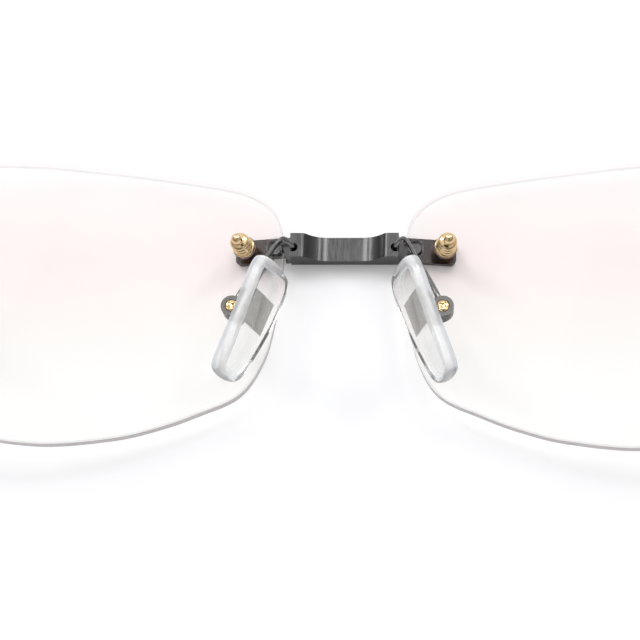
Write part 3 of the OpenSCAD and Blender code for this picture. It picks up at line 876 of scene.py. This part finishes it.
def nose_pad(side_name, side):
    """The clear pad with its metal insert."""
    insert = make_object(f"knurled_insert_{side_name}", insert_shape(), side, [PAD_METAL], 25)
    settle(insert, f"nose_pad_{side_name}", "pad_metal", f"pad_insert_{side_name}")
    pad = make_object(f"clear_pad_{side_name}", pad_shape(), side, [PAD_CLEAR, PAD_RIM], 40)
    settle(pad, f"nose_pad_{side_name}", "pad_clear", f"nose_pad_{side_name}")


# ---------------------------------------------------------------- end pieces, hinges and temples
def end_piece(side_name, side):
    """A strip that lies on the lens's front, goes round its edge and stands up to the hinge."""
    middle = -PLATE_T / 2 - GAP
    place = on_lens(TEMPORAL)
    leg_mid = LEG_X + LEG_T / 2
    path = [place @ Vector((x, 0, middle)) for x in (-1.8, -0.9, 0, 1.2, 2.4, 3.6)]
    path += [Vector((x, TEMPORAL[1], z)) for x, z in (
        (64.4, 6.35), (65.5, 7.0), (66.0, 8.0), (leg_mid, 9.2), (leg_mid, 10.6), (leg_mid, BUTT_Z - 0.01))]
    path = open_curve(path, 5)
    total = len(path) - 1

    def section(share):
        thick = PLATE_T + (LEG_T - PLATE_T) * min(max((share - 0.42) / 0.3, 0), 1)
        nose = 1 - 0.25 * max(0, 1 - share * total / 4) ** 2
        return round_box(thick, LEG_H * nose, min(0.3, thick * 0.3), 4)

    shape = Shape().add(*sweep(path, section, Vector((0, 1, 0))))
    piece = make_object(f"bent_end_piece_{side_name}", shape, side, [PLATED], 40)
    settle(piece, "frame", "gunmetal", f"end_piece_{side_name}")


def knuckle(name, low_y, high_y, web_low, web_high, side):
    """A round knuckle with its web, drawn in the XZ plane and raised along Y."""
    reach, bore_r = LEG_X - HINGE_X, 0.54
    arc = ellipse(KNUCKLE_R, KNUCKLE_R, 36)
    web = [(0, web_low), (reach, web_low), (reach, web_high), (0, web_high)]
    place = Matrix.Translation((HINGE_X, TEMPORAL[1] + high_y, BUTT_Z)) @ turn(90, "X")
    barrel = make_object(name, Shape().add(*prism(arc, high_y - low_y), place=place), side, [PLATED])
    leaf = make_object("leaf", Shape().add(*prism(web, high_y - low_y), place=place), side, [PLATED])
    combine(barrel, [leaf], "UNION")
    bore = Matrix.Translation((HINGE_X, TEMPORAL[1] + high_y + 1, BUTT_Z)) @ turn(90, "X")
    combine(barrel, [make_object("bore", Shape().add(
        *prism(ellipse(bore_r, bore_r, 32), 6), place=bore), side, [PLATED])], "DIFFERENCE")
    round_edges(barrel, 0.06, 2, 32)
    return barrel


def hinge(side_name, side):
    """Two knuckles on the end piece, one on the temple between them, and the screw through all."""
    half, middle, play, web = 1.75, 0.6, 0.05, 2.2
    lower = knuckle(f"hinge_knuckle_low_{side_name}", -half, -middle - play, -web, -play, side)
    settle(lower, "frame", "gunmetal", f"hinge_front_{side_name}")
    upper = knuckle(f"hinge_knuckle_high_{side_name}", middle + play, half, -web, -play, side)
    settle(upper, "frame", "gunmetal", f"hinge_front_{side_name}")
    back = knuckle(f"hinge_knuckle_back_{side_name}", -middle, middle, play, web, side)
    settle(back, f"temple_{side_name}", "gunmetal", f"hinge_back_{side_name}")
    place = Matrix.Translation((HINGE_X, TEMPORAL[1] - half, BUTT_Z)) @ turn(-90, "X")
    top = 2 * half
    profile = [
        (0, 0), (0.46, 0), (0.5, 0.04), (0.5, top), (0.95, top), (0.95, top + 0.32), (0.86, top + 0.43),
        (0.4, top + 0.5), (0, top + 0.5),
    ]
    screw = make_object(f"hinge_slotted_screw_{side_name}", Shape().add(*revolve(profile, 40), place=place),
                        side, [GOLD], 40)
    slot = place @ Matrix.Translation((0, 0, top + 0.25))
    combine(screw, [slot_cutter("slot", (3, 0.28, 1), slot, side)], "DIFFERENCE")
    settle(screw, "frame", "gold", f"hinge_screw_{side_name}")


def temple(side_name, side):
    """A bar that tapers from the hinge and ends inside the tip."""
    start, taper_z = BUTT_Z + 0.05, BUTT_Z + 16
    bar_t, bar_w = 1.15, 2.6
    mid = LEG_X + LEG_T / 2
    path = [Vector((mid, TEMPORAL[1], start + (BAR_END - start) * (k / 60) ** 1.2)) for k in range(61)]

    def section(share):
        z = start + (BAR_END - start) * share ** 1.2
        blend = min((z - start) / (taper_z - start), 1)
        blend = blend * blend * (3 - 2 * blend)
        thick = LEG_T + (bar_t - LEG_T) * blend
        tall = LEG_H + (bar_w - LEG_H) * blend
        return round_box(thick, tall, 0.35, 4)

    shape = Shape().add(*sweep(path, section, Vector((0, 1, 0))))
    arm = make_object(f"tapered_temple_{side_name}", shape, side, [TEMPLE_METAL], 50)
    settle(arm, f"temple_{side_name}", "gunmetal", f"temple_{side_name}")


def temple_tip(side_name, side):
    """A round sleeve over the bar's end, bent down towards the ear, with a domed end."""
    mid, y = LEG_X + LEG_T / 2, TEMPORAL[1]
    bend_z = BUTT_Z + TEMPLE_L
    cuff, cuff_r = 3.0, 1.25
    path = [Vector((mid, y, BAR_END + cuff * k / 8)) for k in range(9)]
    path += [Vector((mid, y, BAR_END + cuff + (bend_z - BAR_END - cuff) * k / 8)) for k in range(1, 9)]
    for k in range(1, 17):
        turned = TIP_BEND * k / 16
        path.append(Vector((mid, y - BEND_R * (1 - math.cos(turned)), bend_z + BEND_R * math.sin(turned))))
    along = Vector((0, -math.sin(TIP_BEND), math.cos(TIP_BEND)))
    corner = path[-1]
    path += [corner + along * (TIP_END_L * k / 8) for k in range(1, 9)]
    dome = [(TIP_R * math.cos(math.radians(a)), TIP_R * math.sin(math.radians(a))) for a in range(10, 90, 10)]
    radii = [cuff_r + (TIP_R - cuff_r) * math.sin(math.pi / 2 * k / 8) for k in range(9)] + [TIP_R] * 32
    end = path[-1]
    path += [end + along * z * 0.98 for _, z in dome]
    radii += [r for r, _ in dome]
    total = len(path) - 1
    shape = Shape().add(*sweep(path, lambda share: ellipse(*[radii[round(share * total)]] * 2, 28)))
    tip = make_object(f"bent_sleeve_tip_{side_name}", shape, side, [TIP_SLEEVE], 50)
    settle(tip, f"temple_{side_name}", "tip_sleeve", f"temple_tip_{side_name}")


# ---------------------------------------------------------------- build the object
for side_name, side in SIDES:
    lens = make_object(f"gradient_lens_{side_name}", lens_shape(), side,
                       [LENS_FACES, LENS_EDGE, LENS_BEVEL], 30)
    settle(lens, "frame", "tinted_lens", f"lens_{side_name}")
    lens_mount("nasal", NASAL, side_name, side)
    lens_mount("temporal", TEMPORAL, side_name, side)
    pad_arm(side_name, side)
    pad_box(side_name, side)
    pad_screw(side_name, side)
    nose_pad(side_name, side)
    end_piece(side_name, side)
    hinge(side_name, side)
    temple(side_name, side)
    temple_tip(side_name, side)
settle(bridge(), "frame", "gunmetal", "bridge")


# ---------------------------------------------------------------- floor, light and camera
def floor():
    """A white table, a little paler to the camera and through glass than the lamps make it."""
    obj = flat_square("floor", 3.0)
    m = Nodes("floor_white")
    diffuse = m.node("ShaderNodeBsdfDiffuse", {"Color": (0.93, 0.93, 0.945)}).outputs[0]
    glow = m.node("ShaderNodeEmission", {"Color": (1.0, 1.0, 1.0), "Strength": 0.18}).outputs[0]
    lifted = m.node("ShaderNodeAddShader", {0: diffuse, 1: glow}).outputs[0]
    seen = m.math("MAXIMUM", m.path("Is Camera Ray"), m.path("Is Transmission Ray"))
    obj.data.materials.append(m.finish(m.mix(seen, diffuse, lifted)))


def area_light(name, at, size, power):
    """A white rectangular lamp aimed at the origin; place and size in metres."""
    light = bpy.data.lights.new(name, "AREA")
    light.shape = "RECTANGLE"
    light.size, light.size_y = size
    light.energy = power
    obj = bpy.data.objects.new(name, light)
    obj.location = at
    obj.rotation_euler = (-Vector(at)).to_track_quat("-Z", "Y").to_euler()
    bpy.context.scene.collection.objects.link(obj)


def dark_card():
    """A dark screen that only reflections and shadows see; it gives the metal its deep tones."""
    obj = flat_square("dark_card", 0.17)
    obj.location = (0.07, -0.24, 0.62)
    obj.rotation_euler = (-obj.location).to_track_quat("-Z", "Y").to_euler()
    obj.visible_camera = False
    obj.visible_transmission = False
    m = Nodes("card_cloth")
    weave = m.noise(m.place((0.3, 0.3, 0.3)), 1.0)
    obj.data.materials.append(m.finish(m.principled(
        base_color=m.ramp(weave, ((0.3, (0.02, 0.018, 0.018)), (0.7, (0.035, 0.032, 0.03)))), roughness=0.9)))


def world():
    """A studio, brightest above the brow side; camera rays and rays through glass see plain white."""
    made = bpy.data.worlds.new("studio")
    made.use_nodes = True
    tree = made.node_tree
    tree.nodes.clear()

    def node(kind, **settings):
        new = tree.nodes.new(kind)
        for key, value in settings.items():
            setattr(new, key, value)
        return new

    direction = node("ShaderNodeTexCoord").outputs["Generated"]
    slope = node("ShaderNodeVectorMath", operation="DOT_PRODUCT")
    slope.inputs[1].default_value = (0.0, 0.5, 0.866)
    tree.links.new(direction, slope.inputs[0])
    ramp = node("ShaderNodeValToRGB")
    ramp.color_ramp.interpolation = "EASE"
    low, high = ramp.color_ramp.elements
    low.position, low.color = 0.5, (0.22, 0.22, 0.225, 1)
    high.position, high.color = 0.97, (0.82, 0.82, 0.82, 1)
    span = node("ShaderNodeMapRange")
    span.inputs["From Min"].default_value = -1.0
    tree.links.new(slope.outputs["Value"], span.inputs["Value"])
    tree.links.new(span.outputs[0], ramp.inputs[0])
    lit = node("ShaderNodeBackground")
    tree.links.new(ramp.outputs[0], lit.inputs["Color"])
    white = node("ShaderNodeBackground")
    white.inputs["Color"].default_value = (1, 1, 1, 1)
    rays = node("ShaderNodeLightPath")
    seen = node("ShaderNodeMath", operation="MAXIMUM")
    tree.links.new(rays.outputs["Is Camera Ray"], seen.inputs[0])
    tree.links.new(rays.outputs["Is Transmission Ray"], seen.inputs[1])
    mix = node("ShaderNodeMixShader")
    tree.links.new(seen.outputs[0], mix.inputs[0])
    tree.links.new(lit.outputs[0], mix.inputs[1])
    tree.links.new(white.outputs[0], mix.inputs[2])
    tree.links.new(mix.outputs[0], node("ShaderNodeOutputWorld").inputs[0])
    bpy.context.scene.world = made


def camera():
    """Looks down at the bridge from the cheek side, a little to the wearer's right."""
    elevation, swing, roll = 69.45, 5.3, -2.1
    distance, focal_length = 300.0, 126.950625
    aim = Vector((-2.985, -2.23, 3.0))
    e, s = math.radians(elevation), math.radians(swing)
    back = Vector((math.sin(s), -math.cos(s) * math.cos(e), math.cos(s) * math.sin(e)))
    up = (Vector((0, 1, 0)) - back * back.y).normalized()
    right = up.cross(back)
    r = math.radians(roll)
    up, right = up * math.cos(r) + right * math.sin(r), right * math.cos(r) - up * math.sin(r)
    data = bpy.data.cameras.new("camera")
    data.sensor_width = 36.0
    data.lens = focal_length
    data.clip_start = 0.01
    obj = bpy.data.objects.new("camera", data)
    place = Matrix((right, up, back)).transposed().to_4x4()
    place.translation = (aim + back * distance) * MM
    obj.matrix_world = place
    bpy.context.scene.collection.objects.link(obj)
    bpy.context.scene.camera = obj


floor()
world()
area_light("strip_left", (-0.28, 0.36, 0.9), (0.17, 0.6), 1.33)
area_light("strip_right", (0.1, 0.36, 0.9), (0.17, 0.6), 1.33)
area_light("side_left", (-0.68, 0.54, 0.64), (0.16, 0.4), 1.38)
area_light("side_right", (0.58, 0.56, 0.74), (0.16, 0.4), 1.38)
dark_card()
camera()
bpy.context.scene.view_settings.view_transform = "Standard"
